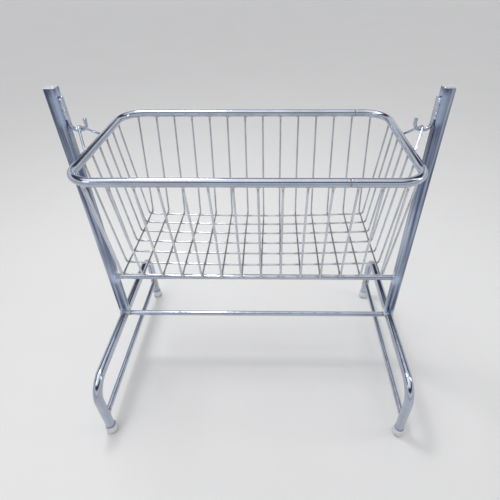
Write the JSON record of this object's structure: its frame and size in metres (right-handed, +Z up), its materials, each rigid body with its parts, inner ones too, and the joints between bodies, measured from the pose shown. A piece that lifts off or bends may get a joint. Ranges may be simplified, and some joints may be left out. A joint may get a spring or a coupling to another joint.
{
  "type": "hospital bassinet",
  "caption": "Chrome wire bassinet basket with a tubular rim, hung by wire bails from hooks on two square posts and swinging on a stand of bent tube arches.",
  "frame": {"origin": "on the floor, in the middle of the four feet", "axes": "+X from the left post to the right post, +Y from the front to the back, +Z up"},
  "size_m": [0.892, 0.612, 0.914],
  "materials": {
    "chrome_tube": "bright plated tube",
    "chrome_rod": "bright plated rod",
    "basket_wire": "bright plated wire",
    "satin_cap": "satin",
    "foot_plastic": "pale moulded cap"
  },
  "bodies": {
    "stand": {"base_arch_left": "chrome_tube", "post_left": "chrome_tube", "post_cap_left": "satin_cap", "tie_rod_left": "chrome_tube", "hook_left": "chrome_rod", "foot_cap_front_left": "foot_plastic", "foot_cap_rear_left": "foot_plastic", "base_arch_right": "chrome_tube", "post_right": "chrome_tube", "post_cap_right": "satin_cap", "tie_rod_right": "chrome_tube", "hook_right": "chrome_rod", "foot_cap_front_right": "foot_plastic", "foot_cap_rear_right": "foot_plastic", "lower_stretcher": "chrome_tube", "upper_stretcher": "chrome_tube"},
    "basket": {"basket_rim": "chrome_tube", "bail_left": "chrome_rod", "bail_right": "chrome_rod", "cross_wire_1": "basket_wire", "cross_wire_2": "basket_wire", "cross_wire_3": "basket_wire", "cross_wire_4": "basket_wire", "cross_wire_5": "basket_wire", "cross_wire_6": "basket_wire", "cross_wire_7": "basket_wire", "cross_wire_8": "basket_wire", "cross_wire_9": "basket_wire", "cross_wire_10": "basket_wire", "cross_wire_11": "basket_wire", "cross_wire_12": "basket_wire", "cross_wire_13": "basket_wire", "cross_wire_14": "basket_wire", "long_wire_1": "basket_wire", "long_wire_2": "basket_wire", "long_wire_3": "basket_wire", "long_wire_4": "basket_wire", "long_wire_5": "basket_wire", "long_wire_6": "basket_wire", "long_wire_7": "basket_wire"}
  },
  "joints": [
    {"name": "basket_swing", "type": "hinge", "parent": "stand", "child": "basket", "pos_m": [0, 0, 0.818], "axis": [1, 0, 0], "range_deg": [-25, 25]}
  ]
}
